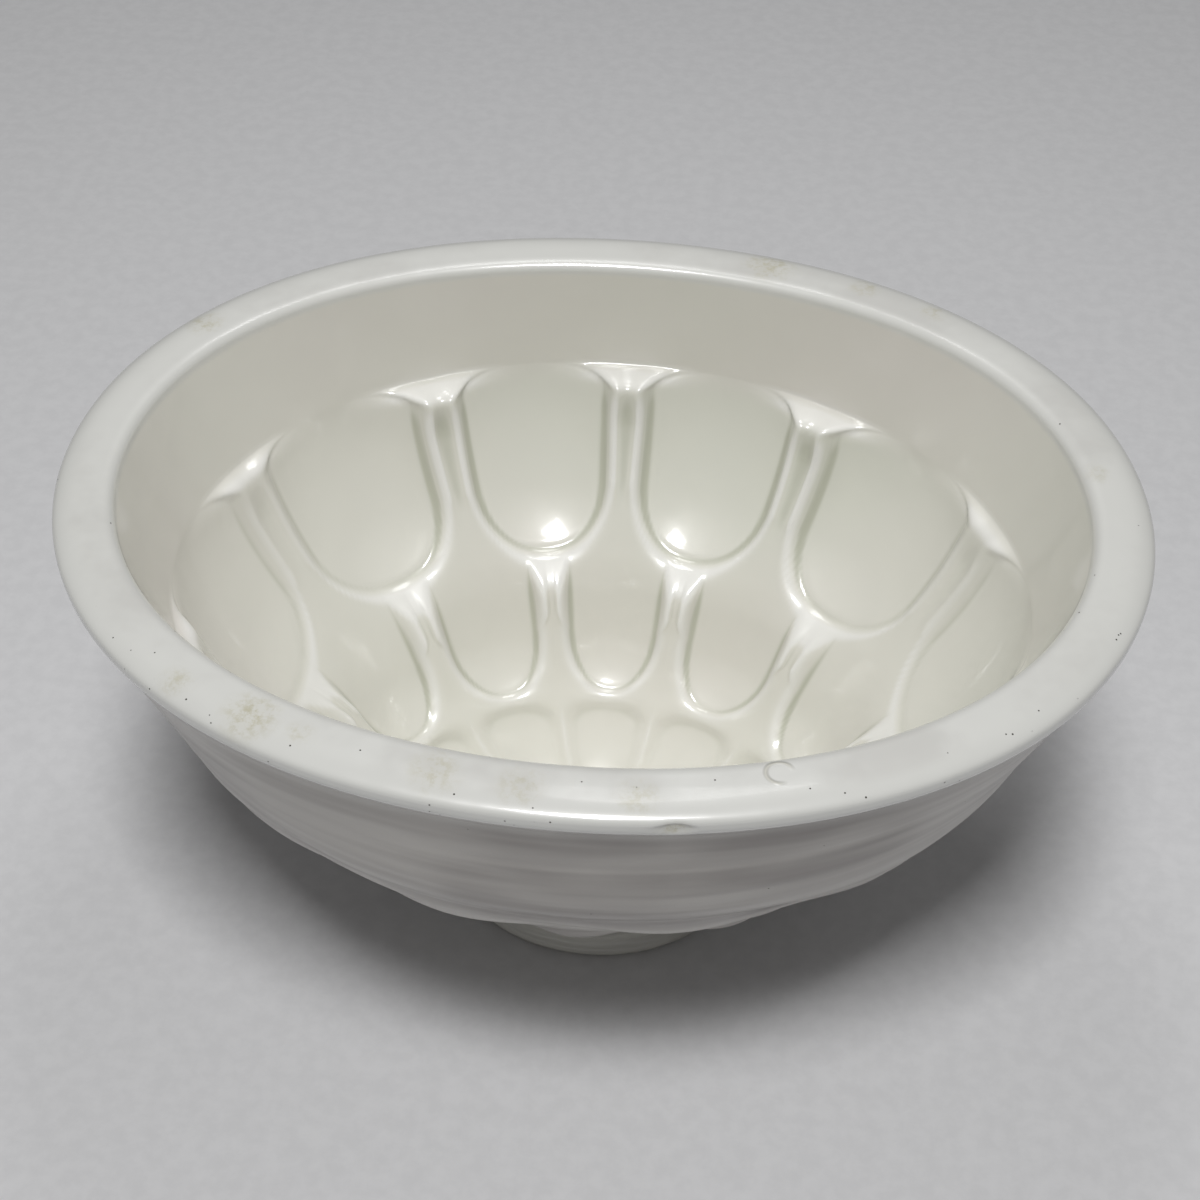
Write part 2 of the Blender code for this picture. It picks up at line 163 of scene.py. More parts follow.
# Wear of the rim, in millimetres from the middle: x, y, reach and strength
STAINS = (
    (-77.2, 36.6, 4.5, 0.8),
    (-61.3, -53.3, 3.5, 0.7),
    (-48.2, -59.3, 6.0, 1.0),
    (-40.0, -62.0, 3.0, 0.6),
    (-18.5, -67.4, 5.5, 0.7),
    (-5.5, -69.0, 5.0, 0.6),
    (12.0, -69.0, 4.5, 0.6),
    (25.9, 66.6, 6.5, 0.9),
    (44.0, 61.6, 4.0, 0.7),
    (57.1, 55.2, 3.5, 0.7),
    (84.5, 12.0, 3.0, 0.5),
)
PINHOLES = (
    (-4.7, -69.2, 4.5, 1.0),
    (5.2, -68.0, 3.0, 1.0),
    (12.9, -68.0, 3.5, 1.0),
    (23.3, -66.3, 4.0, 1.0),
    (40.0, -64.0, 6.0, 0.8),
    (-30.0, -66.0, 6.0, 0.8),
    (-66.0, -47.0, 8.0, 0.8),
    (4.9, -73.0, 2.0, 1.0),
    (22.7, -72.0, 2.0, 1.0),
)
EDGE_PINHOLES = 0.62

# Chip under the rim: x, y, half its length, half its height and its depth
CHIP = (17.8, -73.5, 3.6, 1.6, 0.6)
CHIP_CORE = 0.45
CHIP_SIDE_REACH = 4.0
CHIP_STAIN = 0.9

# Small C-shaped mark in the rim's glaze, in metres: middle, gap, radius and width
MARK_MIDDLE = (0.0327, -0.0622, 0.104)
MARK_GAP = (0.0355, -0.0632, 0.104)
MARK_RADIUS = 0.0021
MARK_WIDTH = 0.00055
MARK_GAP_EDGE = (0.0016, 0.0034)

# Mesh density
HALF_PITCH_COLUMNS = 30
COLUMN_CROWD = 0.55
INSIDE_ROWS = 200
OUTSIDE_ROWS = 130
OUTSIDE_FIRST_GAP = 1.5
OUTSIDE_LAST_RUN = 3.0

RIM_HALF = (RIM_LENGTH / 2, RIM_WIDTH / 2)
RIM_INNER_HALF = (RIM_HALF[0] - RIM_THICKNESS_ENDS, RIM_HALF[1] - RIM_THICKNESS_SIDES)
LEDGE_HALF = (RIM_INNER_HALF[0] - COLLAR_DRAFT_ENDS, RIM_INNER_HALF[1] - COLLAR_DRAFT_SIDES)
LEDGE_ASPECT = LEDGE_HALF[1] / LEDGE_HALF[0]


def smooth_step(low, high, value):
    """0 below low, 1 above high, smooth between."""
    share = np.clip((value - low) / (high - low), 0.0, 1.0)
    return share * share * (3.0 - 2.0 * share)


def soft_min(first, second, radius=CREST_SOFTNESS):
    """Smaller of two heights, with the crest where they meet rounded off."""
    gap = np.abs(first - second)
    return np.minimum(first, second) - radius * np.log1p(np.exp(-gap / radius))


def soft_ramp(value, radius):
    """Zero below zero, value above it, with a fillet of this radius."""
    return radius * np.logaddexp(0.0, value / radius)


def bowl_curve(samples=1200):
    """Half width and depth along the bowl, from the first ledge to the middle."""
    half = LEDGE_HALF[1]
    stations = np.array(
        [
            (half, COLLAR_DEPTH),
            (half * TIER_1_SHARE, TIER_1_DEPTH),
            (half * TIER_2_SHARE, TIER_2_DEPTH),
            (half * FLOOR_EDGE_SHARE, FLOOR_DEPTH - FLOOR_EDGE_RISE),
            (0.0, FLOOR_DEPTH),
        ]
    )
    steps = np.linalg.norm(np.diff(stations, axis=0), axis=1)
    knots = np.concatenate(([0.0], np.cumsum(steps)))
    slopes = np.zeros_like(stations)
    slopes[1:-1] = (stations[2:] - stations[:-2]) / (knots[2:] - knots[:-2])[:, None]
    angle = math.radians(COLLAR_WALL_ANGLE)
    slopes[0] = (-math.sin(angle), math.cos(angle))
    slopes[-1] = (-1.0, 0.0)
    at = np.linspace(0.0, knots[-1], samples)
    piece = np.clip(np.searchsorted(knots, at, side="right") - 1, 0, len(steps) - 1)
    span = steps[piece][:, None]
    share = ((at - knots[piece]) / steps[piece])[:, None]
    return (
        (1 + 2 * share) * (1 - share) ** 2 * stations[piece]
        + share * (1 - share) ** 2 * span * slopes[piece]
        + share**2 * (3 - 2 * share) * stations[piece + 1]
        + share**2 * (share - 1) * span * slopes[piece + 1]
    )


BOWL = bowl_curve()
BOWL_RUN = np.concatenate(([0.0], np.cumsum(np.linalg.norm(np.diff(BOWL, axis=0), axis=1))))
BOWL_SLOPE = np.gradient(BOWL, BOWL_RUN, axis=0)
RUN_END = float(BOWL_RUN[-1])


def bowl_at(run):
    """Half width, depth and direction of the bowl at a distance down its wall."""
    width = np.interp(run, BOWL_RUN, BOWL[:, 0])
    depth = np.interp(run, BOWL_RUN, BOWL[:, 1])
    inward = np.interp(run, BOWL_RUN, BOWL_SLOPE[:, 0])
    down = np.interp(run, BOWL_RUN, BOWL_SLOPE[:, 1])
    size = np.hypot(inward, down)
    return width / LEDGE_HALF[1], depth, inward / size, down / size


def bowl_half(share):
    """Half length and half width of the bowl where it has narrowed to this share."""
    width = LEDGE_HALF[1] * share
    longer = np.tanh(width / LONG_FADE) / math.tanh(LEDGE_HALF[1] / LONG_FADE)
    return width + (LEDGE_HALF[0] - LEDGE_HALF[1]) * longer, width


def petal_angle(angle):
    """Angle seen from the middle, from the angle that draws the ledge's ellipse."""
    return np.arctan2(LEDGE_ASPECT * np.sin(angle), np.cos(angle))


def ellipse_angle(turn):
    """The angle that draws the ledge's ellipse, from the angle seen from the middle."""
    return np.arctan2(np.sin(turn) / LEDGE_ASPECT, np.cos(turn))


def oval(half_length, half_width, angle, fullness=0.0):
    """Point on an oval that stands proud of an ellipse at its four shoulders."""
    out = 1.0 + fullness * np.sin(2.0 * angle) ** 2
    return half_length * np.cos(angle) * out, half_width * np.sin(angle) * out


def oval_normal(angle, share):
    """Outward direction in plan of the bowl's oval at this share."""
    length, width = bowl_half(share)
    east = width * np.cos(angle)
    north = length * np.sin(angle)
    size = np.hypot(east, north)
    return east / size, north / size


def side_step(angle, share, offset):
    """Distance round the wall from the nearest petal centre, and the pitch there."""
    pitch = 2.0 * math.pi / PETALS
    turn = (petal_angle(angle) - offset + pitch / 2) % pitch - pitch / 2
    length, width = bowl_half(share)
    spread = LEDGE_ASPECT / (np.cos(angle) ** 2 + (LEDGE_ASPECT * np.sin(angle)) ** 2)
    metric = np.hypot(length * np.sin(angle), width * np.cos(angle)) / spread
    return np.abs(turn) * metric, pitch * metric


def reach_of(parts, squareness):
    """How far out of a petal's outline a point is: 1 on the outline."""
    return sum(part**squareness for part in parts) ** (1.0 / squareness)


def petal_height(side, run, half_width, length, round_end, hollows, bevel, groove, top_round):
    """Height of one petal's face, the groove round it and its bevel above the bowl."""
    side_slope, end_step, end_slope = bevel
    below = np.maximum(run - (length - round_end), 0.0) / round_end
    reach = reach_of((side / half_width, below), PETAL_SQUARENESS)
    toward_end = (below / np.maximum(reach, below + 1e-9)) ** 2
    face = hollows[0] + (hollows[1] - hollows[0]) * toward_end
    beyond = soft_ramp(reach - 1.0, CREASE_SOFTNESS)
    side_rise = side_slope * half_width * beyond
    end_rise = side_slope * round_end * beyond
    end_rise = soft_min(end_rise, end_step + end_slope * round_end * beyond, 0.2)
    rise = side_rise + (end_rise - side_rise) * toward_end
    above = np.maximum(top_round - run, 0.0) / top_round
    arch = reach_of((side / half_width, above), PETAL_SQUARENESS)
    rise = np.maximum(rise, side_slope * half_width * soft_ramp(arch - 1.0, CREASE_SOFTNESS))
    across = half_width + (round_end - half_width) * toward_end
    away = (np.maximum(reach, arch) - 1.0) * across / groove[1]
    height = face * np.minimum(reach, 1.0) ** 2 + rise - groove[0] * np.exp(-(away**2))
    return height, reach


def tiers(angle, run):
    """Heights above the bowl of the three tiers and the web, and the petals' reaches."""
    share = bowl_at(run)[0]
    half = math.pi / PETALS

    side, pitch = side_step(angle, share, 0.0)
    low = smooth_step(0.0, PETAL_1_LENGTH - PETAL_1_ROUND_END, run)
    hollow = PETAL_1_HOLLOW_TOP + (PETAL_1_HOLLOW_LOW - PETAL_1_HOLLOW_TOP) * low
    first, first_reach = petal_height(
        side, run, pitch * PETAL_1_FILL / 2, PETAL_1_LENGTH, PETAL_1_ROUND_END,
        (hollow, PETAL_1_HOLLOW_END),
        (BEVEL_1_SIDE_SLOPE, BEVEL_1_END_STEP, BEVEL_1_END_SLOPE),
        PETAL_1_GROOVE, PETAL_1_TOP_ROUND,
    )

    side, pitch = side_step(angle, share, half)
    wide = smooth_step(PETAL_2_OPENING, PETAL_2_WIDE, run)
    half_width = GROOVE_2_HALF_WIDTH + (pitch * PETAL_2_FILL / 2 - GROOVE_2_HALF_WIDTH) * wide
    set_in = PETAL_2_SET_IN * (1.0 - smooth_step(PETAL_1_LENGTH, PETAL_2_LENGTH, run))
    groove_rise = GROOVE_2_TOP_RISE * (1.0 - smooth_step(0.0, GROOVE_2_TOP_LENGTH, run))
    second, second_reach = petal_height(
        side, run, half_width, PETAL_2_LENGTH, PETAL_2_ROUND_END,
        (PETAL_2_HOLLOW, PETAL_2_HOLLOW_END),
        (BEVEL_2_SIDE_SLOPE, BEVEL_2_END_STEP, BEVEL_2_END_SLOPE),
        (PETAL_2_GROOVE[0] * wide, PETAL_2_GROOVE[1]), PETAL_2_TOP_ROUND,
    )
    second = second + set_in + groove_rise

    rib_side, rib_pitch = side_step(angle, share, 0.0)
    spread = smooth_step(WEB_OPENING, WEB_WIDE, run)
    web_half = WEB_HALF_WIDTH + rib_pitch / 2 * spread
    fade = 1.0 - smooth_step(PETAL_3_START, RUN_END - CROWN_RADIUS, run)
    web = set_in + WEB_SET_IN * fade + BEVEL_2_SIDE_SLOPE * np.maximum(rib_side - web_half, 0.0)

    start = np.maximum(PETAL_3_START + PETAL_3_ROUND_END - run, 0.0) / PETAL_3_ROUND_END
    end = np.maximum(run - PETAL_3_LENGTH + PETAL_3_ROUND_END, 0.0) / PETAL_3_ROUND_END
    across = side / (pitch * PETAL_3_FILL / 2)
    reach = reach_of((across, start, end), PETAL_3_SQUARENESS)
    bevel = BEVEL_3_SLOPE * PETAL_3_ROUND_END * soft_ramp(reach - 1.0, CREASE_SOFTNESS)
    third = PETAL_3_SET_IN * fade + PETAL_3_HOLLOW * np.minimum(reach, 1.0) ** 2 + bevel
    return (first, second, soft_min(third, web)), (first_reach, second_reach)


def relief(angle, run):
    """Height of the moulded wall above the bowl, in from the bowl's surface."""
    first, second, lower = tiers(angle, run)[0]
    near_ledge = 1.0 - smooth_step(0.0, LEDGE_CREST_LENGTH, run)
    softness = CREST_SOFTNESS + (LEDGE_CREST_SOFTNESS - CREST_SOFTNESS) * near_ledge
    at_end = smooth_step(0.4, 0.9, np.cos(petal_angle(angle)) ** 2)
    softness = softness * (1.0 + END_SOFTNESS * at_end)
    moulded = soft_min(first, soft_min(second, lower), softness)
    lowered = 1.0 - END_LOWERING * at_end * (1.0 - smooth_step(*END_LOWERED_RUN, run))
    roll = 1.0 - np.exp(-((np.maximum(run, 0.0) / LEDGE_ROLL) ** LEDGE_ROLL_POWER))
    return np.maximum(moulded, 0.0) * lowered * roll


def painted_bevel_light(angle, run):
    """Painted light: 1 on the up-facing bevels below the petals and on the ledge's shelf, 0
    elsewhere.
    """
    (first, second, lower), reaches = tiers(angle, run)
    rest = np.minimum(second, lower)
    first_shows = smooth_step(-0.8, 0.5, rest - first) * smooth_step(1.03, 1.12, reaches[0])
    rest = np.minimum(first, lower)
    second_shows = smooth_step(-0.8, 0.5, rest - second) * smooth_step(1.03, 1.12, reaches[1])
    below = smooth_step(18.0, 34.0, run)
    bevels = np.maximum(first_shows, 0.8 * second_shows * smooth_step(44.0, 56.0, run)) * below
    ledge = smooth_step(0.1, 0.8, run) * (1.0 - smooth_step(1.8, 4.0, run))
    return np.maximum(bevels, 0.8 * ledge * smooth_step(0.5, 2.0, relief(angle, run)))


def inner_point(angle, run):
    """Point on the moulded inside, at a distance down the wall from the first ledge."""
    share, depth, inward, down = bowl_at(run)
    height = relief(angle, run)
    x, y = oval(*bowl_half(share), angle)
    east, north = oval_normal(angle, np.maximum(share, 0.01))
    return x - east * down * height, y - north * down * height, depth + inward * height


def wall_at(run):
    """Thickness of clay behind the bowl."""
    return WALL + (FLOOR_THICKNESS - WALL) * smooth_step(0.0, PETAL_2_LENGTH, run)


def ripples(angle, run):
    """Soft uneven waves that the hand left round the outside."""
    window = smooth_step(*RIPPLE_START, run) * (1.0 - smooth_step(*RIPPLE_END, run))
    drift = 0.30 * np.sin(2.0 * angle + 0.8) + 0.16 * np.sin(5.0 * angle + 2.1)
    broad = run / BROAD_RIPPLE[0] + drift
    drift = 0.45 * np.sin(3.0 * angle + 0.4) + 0.20 * np.sin(7.0 * angle + 1.2)
    fine = run / FINE_RIPPLE[0] + drift
    uneven = 0.6 + 0.4 * np.sin(3.0 * angle + run / 11.0)
    small = FINE_RIPPLE[1] * uneven * (1.0 - smooth_step(*FINE_RIPPLE_END, run))
    broad_wave = BROAD_RIPPLE[1] * np.sin(2.0 * math.pi * broad)
    return window * (broad_wave + small * np.sin(2.0 * math.pi * fine))


def outer_point(angle, run, proud=0.0):
    """Point on the outside, behind the bowl point at the same run."""
    share, depth, inward, down = bowl_at(run)
    window = smooth_step(*SWELL_START, run) * (1.0 - smooth_step(*SWELL_END, run))
    turned = 1.0 - 2.0 * smooth_step(*SWELL_TURN, run)
    swell = OUTER_SWELL * window * turned * np.cos(PETALS * petal_angle(angle))
    thick = wall_at(run) + swell + ripples(angle, run) + proud
    x, y = oval(*bowl_half(share), angle)
    east, north = oval_normal(angle, np.maximum(share, 0.01))
    return x + east * down * thick, y + north * down * thick, depth - inward * thick


def column_angles():
    """Angles of the grid's columns, crowded at every rib of the two upper tiers."""
    step = np.arange(2 * PETALS)[:, None]
    share = np.linspace(0.0, 1.0, HALF_PITCH_COLUMNS, endpoint=False)[None, :]
    share = share - COLUMN_CROWD * np.sin(2.0 * math.pi * share) / (2.0 * math.pi)
    return ellipse_angle(((step + share) * math.pi / PETALS).ravel())


def outside_runs():
    """Runs of the rows on the outside, from under the floor to the rim."""
    return np.linspace(RUN_END - OUTSIDE_FIRST_GAP, OUTSIDE_LAST_RUN, OUTSIDE_ROWS)


def between(first, second, shares):
    """Rows part of the way from one row to another."""
    return [tuple(a + (b - a) * share for a, b in zip(first, second)) for share in shares]


def rim_row(angles, half, inset, depth):
    """Row of the rim, set in from one of its two ovals."""
    x, y = oval(half[0] - inset, half[1] - inset, angles, RIM_FULLNESS)
    return x, y, np.full_like(angles, depth)


def round_over(across, tall, steps):
    """Inset and depth along a quarter of an oval, from its side to its top."""
    turns = np.linspace(0.0, math.pi / 2, steps)
    return [(across * (1 - math.cos(t)), tall * (1 - math.sin(t))) for t in turns]


def glaze_pool_and_painted_shading(angle, run):
    """Where glaze runs together, with painted shade and light: above 0 in creases, painted
    darker, below 0 on crests, painted paler.
    """
    turn = petal_angle(angle)
    pitch = side_step(angle, np.maximum(bowl_at(run)[0], 0.05), 0.0)[1]
    middle = relief(angle, run)
    total = np.zeros_like(middle)
    for reach, weight in ((0.9, 0.9), (2.2, 0.55)):
        around = np.zeros_like(middle)
        for way in np.arange(8) * math.pi / 4:
            step = np.minimum(reach / pitch, 0.25) * 2.0 * math.pi / PETALS
            side = ellipse_angle(turn + step * math.cos(way))
            around += relief(side, np.minimum(run + reach * math.sin(way), RUN_END)) / 8.0
        total += weight * (around - middle) / reach
    return total * smooth_step(1.0, 9.0, run)


def body_rows(angles):
    """Rows of the shell, from under the floor, round the rim and down the inside."""
    rows = [outer_point(angles, np.full_like(angles, run)) for run in outside_runs()]
    recess = rim_row(angles, RIM_HALF, RIM_UNDERCUT, RIM_BAND + UNDERCUT_HEIGHT)
    rows += between(rows[-1], recess, np.linspace(0.0, 1.0, 8)[1:])
    rim_start = len(rows)
    for share in np.linspace(0.0, 1.0, 8)[1:]:
        inset = RIM_UNDERCUT * (1.0 - math.sin(share * math.pi / 2))
        depth = RIM_BAND + UNDERCUT_HEIGHT * (1.0 - share)
        rows.append(rim_row(angles, RIM_HALF, inset, depth))
    for share in np.linspace(0.0, 1.0, 5)[1:]:
        depth = RIM_BAND + (RIM_OUTER_ROUND[1] - RIM_BAND) * share
        rows.append(rim_row(angles, RIM_HALF, 0.0, depth))
    for inset, depth in round_over(*RIM_OUTER_ROUND, 12)[1:]:
        rows.append(rim_row(angles, RIM_HALF, inset, depth))
    top_in = rim_row(angles, RIM_INNER_HALF, -RIM_INNER_ROUND[0], 0.0)
    rows += between(rows[-1], top_in, np.linspace(0.0, 1.0, 10)[1:])
    for inset, depth in reversed(round_over(*RIM_INNER_ROUND, 10)[:-1]):
        rows.append(rim_row(angles, RIM_INNER_HALF, -inset, depth))
    rim_end = len(rows)
    ledge = inner_point(angles, np.zeros_like(angles))
    rows += between(rows[-1], ledge, np.linspace(0.0, 1.0, 24)[1:-1])
    inside_start = len(rows)
    runs = np.concatenate(
        (np.linspace(0.0, 3.0, 12), np.linspace(3.0, RUN_END - 0.5, INSIDE_ROWS)[1:])
    )
    rows += [inner_point(angles, np.full_like(angles, run)) for run in runs]
    return rows, (rim_start, rim_end, inside_start), runs


def blots(points, marks):
    """Soft round marks on the rim: 1 in the middle of each, 0 beyond its reach."""
    total = np.zeros(len(points))
    for x, y, reach, strength in marks:
        away = np.hypot(points[:, 0] - x, points[:, 1] - y) / reach
        total = np.maximum(total, strength * (1.0 - smooth_step(0.2, 1.0, away)))
    return total


def store(mesh, name, values):
    """Keep a number for each point of the mesh, for its material to read."""
    layer = mesh.attributes.new(name, "FLOAT", "POINT")
    layer.data.foreach_set("value", np.asarray(values, dtype=np.float32))


def make_shell():
    """The glazed body with its rim, its pools of glaze with painted shade and light, and its
    wear.
    """
    angles = column_angles()
    rows, (rim_start, rim_end, inside_start), runs = body_rows(angles)
    floor_height = float(relief(np.array([0.0]), np.array([RUN_END]))[0])
    underside = FLOOR_DEPTH + FLOOR_THICKNESS
    mesh = grid_mesh("glazed_shell", rows, underside, FLOOR_DEPTH - floor_height)
    count = len(angles)
    size = len(mesh.vertices)
    points = np.zeros(size * 3)
    mesh.vertices.foreach_get("co", points)
    points = points.reshape(-1, 3) / MM

    x, y, across, tall, hollow = CHIP
    away = np.hypot((points[:, 0] - x) / across, (points[:, 2] - (HEIGHT - RIM_BAND)) / tall)
    near = np.abs(points[:, 1] - y) < CHIP_SIDE_REACH
    chipped = (1.0 - smooth_step(CHIP_CORE, 1.0, away)) * near
    points[:, 1] += hollow * chipped
    mesh.vertices.foreach_set("co", (points * MM).ravel())

    rim = np.zeros(size)
    rim[rim_start * count:rim_end * count] = 1.0
    top = smooth_step(-0.55, -0.08, points[:, 2] - HEIGHT) * rim
    outside = np.zeros(size)
    outside[:rim_start * count] = 1.0
    inside = slice(inside_start * count, len(rows) * count)
    turn, run = np.tile(angles, len(runs)), np.repeat(runs, count)
    pool_and_painted_shading, bevel_light, deep, wave = (np.zeros(size) for _ in range(4))
    pool_and_painted_shading[inside] = glaze_pool_and_painted_shading(turn, run)
    bevel_light[inside] = painted_bevel_light(turn, run)
    deep[inside] = smooth_step(-2.0, 6.0, run)
    deep[-1] = 1.0
    outer_run = np.repeat(outside_runs(), count)
    wave[:OUTSIDE_ROWS * count] = ripples(np.tile(angles, OUTSIDE_ROWS), outer_run)
    edge = smooth_step(0.05, 0.5, HEIGHT - points[:, 2]) * rim * (points[:, 1] < 0.0)
    attributes = {
        "rim": rim,
        "worn": top,
        "outside": outside,
        "pool_and_painted_shading": pool_and_painted_shading,
        "bevel_light": bevel_light,
        "deep": deep,
        "wave": wave,
        "stain": np.maximum(blots(points, STAINS) * rim, CHIP_STAIN * chipped),
        "pinholes": np.maximum(blots(points, PINHOLES), EDGE_PINHOLES * edge) * rim,
    }
    for name, values in attributes.items():
        store(mesh, name, values)
    mesh.update()
    return mesh


def grid_mesh(name, rows, cap_start, cap_end):
    """Mesh of stacked rows, closed by a fan at each end or joined end to end."""
    count = len(rows[0][0])
    points = np.concatenate([np.stack(row, axis=1) for row in rows])
    points[:, 2] = HEIGHT - points[:, 2]
    ring = np.arange(count)
    after = (ring + 1) % count
    pairs = [(k, k + 1) for k in range(len(rows) - 1)]
    if cap_start is None:
        pairs.append((len(rows) - 1, 0))
    quads = []
    for low, high in ((first * count, second * count) for first, second in pairs):
        quads.append(np.stack([low + ring, low + after, high + after, high + ring], 1))
    faces = np.concatenate(quads).tolist()
    if cap_start is not None:
        caps = [(0.0, 0.0, HEIGHT - cap_start), (0.0, 0.0, HEIGHT - cap_end)]
        middle = len(points)
        points = np.concatenate([points, caps])
        top = (len(rows) - 1) * count
        faces += [(int(after[i]), int(ring[i]), middle) for i in ring]
        faces += [(top + int(ring[i]), top + int(after[i]), middle + 1) for i in ring]
    mesh = bpy.data.meshes.new(name)
    mesh.from_pydata((points * MM).tolist(), [], faces)
    mesh.shade_smooth()
    mesh.update()
    return mesh


def add_piece(name, mesh, material):
    """Put a mesh in the scene as a piece of the part."""
    mesh.materials.append(material)
    piece = bpy.data.objects.new(name, mesh)
    bpy.context.scene.collection.objects.link(piece)
    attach(piece, "root")
    return piece


class Weave:
    """Short ways to add nodes to a material."""

    def __init__(self, name):
        self.material = bpy.data.materials.new(name)
        self.material.use_nodes = True
        self.tree = self.material.node_tree
        self.shader = self.tree.nodes["Principled BSDF"]
        self.place = self.tree.nodes.new("ShaderNodeTexCoord").outputs["Object"]

    def join(self, value, socket):
        """Link an output to a socket, or write a number or colour on it."""
        if isinstance(value, bpy.types.NodeSocket):
            self.tree.links.new(value, socket)
        elif isinstance(value, tuple) and len(value) == 3 and socket.type == "RGBA":
            socket.default_value = (*value, 1.0)
        else:
            socket.default_value = value

    def attribute(self, name):
        """Number that the mesh keeps for each of its points."""
        node = self.tree.nodes.new("ShaderNodeAttribute")
        node.attribute_name = name
        return node.outputs["Fac"]

    def stretch(self, scale):
        """Place on the object, scaled on each axis."""
        node = self.tree.nodes.new("ShaderNodeVectorMath")
        node.operation = "MULTIPLY"
        self.join(self.place, node.inputs[0])
        node.inputs[1].default_value = scale
        return node.outputs[0]

    def noise(self, scale, detail=2.0, rough=0.5, place=None, twist=0.0):
        """Soft noise from 0 to 1."""
        node = self.tree.nodes.new("ShaderNodeTexNoise")
        node.inputs["Scale"].default_value = scale
        node.inputs["Detail"].default_value = detail
        node.inputs["Roughness"].default_value = rough
        node.inputs["Distortion"].default_value = twist
        self.join(place or self.place, node.inputs["Vector"])
        return node.outputs["Fac"]

    def cells(self, scale):
        """Distance to the nearest of scattered points, and that point's own colour."""
        node = self.tree.nodes.new("ShaderNodeTexVoronoi")
        node.inputs["Scale"].default_value = scale
        self.join(self.place, node.inputs["Vector"])
        return node.outputs["Distance"], node.outputs["Color"]

    def distance(self, point):
        """Distance from a fixed point, in metres."""
        node = self.tree.nodes.new("ShaderNodeVectorMath")
        node.operation = "DISTANCE"
        self.join(self.place, node.inputs[0])
        node.inputs[1].default_value = point
        return node.outputs["Value"]

    def span(self, value, low, high, out_low=0.0, out_high=1.0):
        """Smooth step between two outputs as the value goes from low to high."""
        node = self.tree.nodes.new("ShaderNodeMapRange")
        node.interpolation_type = "SMOOTHSTEP"
        self.join(value, node.inputs["Value"])
        node.inputs["From Min"].default_value = low
        node.inputs["From Max"].default_value = high
        node.inputs["To Min"].default_value = out_low
        node.inputs["To Max"].default_value = out_high
        return node.outputs["Result"]

    def math(self, operation, first, second):
        """Sum, difference, product or other operation on two values."""
        node = self.tree.nodes.new("ShaderNodeMath")
        node.operation = operation
        self.join(first, node.inputs[0])
        self.join(second, node.inputs[1])
        return node.outputs[0]

    def mix(self, factor, first, second):
        """Colour between two colours."""
        node = self.tree.nodes.new("ShaderNodeMix")
        node.data_type = "RGBA"
        self.join(factor, node.inputs["Factor"])
        self.join(first, node.inputs["A"])
        self.join(second, node.inputs["B"])
        return node.outputs["Result"]

    def bump(self, height, distance, under=None):
        """Normal tilted by a height, on top of another normal."""
        node = self.tree.nodes.new("ShaderNodeBump")
        node.inputs["Strength"].default_value = 1.0
        node.inputs["Distance"].default_value = distance
        self.join(height, node.inputs["Height"])
        if under is not None:
            self.join(under, node.inputs["Normal"])
        return node.outputs["Normal"]


# Colours of the glaze, its wear and the bare clay, with painted shade and painted light among
# them
CREAM = (0.742, 0.732, 0.668)
ROSY_CREAM = (0.738, 0.708, 0.660)
GREEN_CREAM = (0.720, 0.724, 0.648)
# Darker, greener glaze in the creases: pooled glaze with painted shade
POOLED_AND_SHADED = (0.500, 0.510, 0.415)
# Paler glaze painted on as light: on the up-facing bevels and the ledge's shelf, and on crests,
# where it also stands for thinner glaze
THIN_GLAZE_AND_PAINTED_LIGHT = (0.850, 0.845, 0.815)
WORN_RIM = (0.700, 0.700, 0.668)
RIM_GREY = (0.590, 0.584, 0.556)
TAN_STAIN = (0.480, 0.450, 0.310)
PIT_DARK = (0.100, 0.085, 0.065)
# Outside glaze, greyer and darkened as painted shade under the rim; the grey also greys the
# foot
OUTSIDE_CREAM_IN_PAINTED_SHADE = (0.545, 0.524, 0.494)
OUTSIDE_GREY_IN_PAINTED_SHADE = (0.300, 0.278, 0.264)
# Bare clay at the foot's resting edge, its pale colour also a painted highlight, with darker
# grit
BARE_CLAY_AND_EDGE_HIGHLIGHT = (0.80, 0.77, 0.70)
BARE_GRIT = (0.60, 0.55, 0.46)

# Gloss: ranges of roughness, and what the outside has less of than the inside
GLOSS_ROUGHNESS = (0.29, 0.42)
DULL_ROUGHNESS = (0.32, 0.50)
BARE_ROUGHNESS = 0.8
COAT_ROUGHNESS = 0.10
FOOT_COAT_ROUGHNESS = 0.08
GLAZE_IOR = 1.5
SPECULAR_LEVEL = 0.5
OUTSIDE_SPECULAR_LOSS = 0.28
OUTSIDE_COAT_LOSS = 0.8


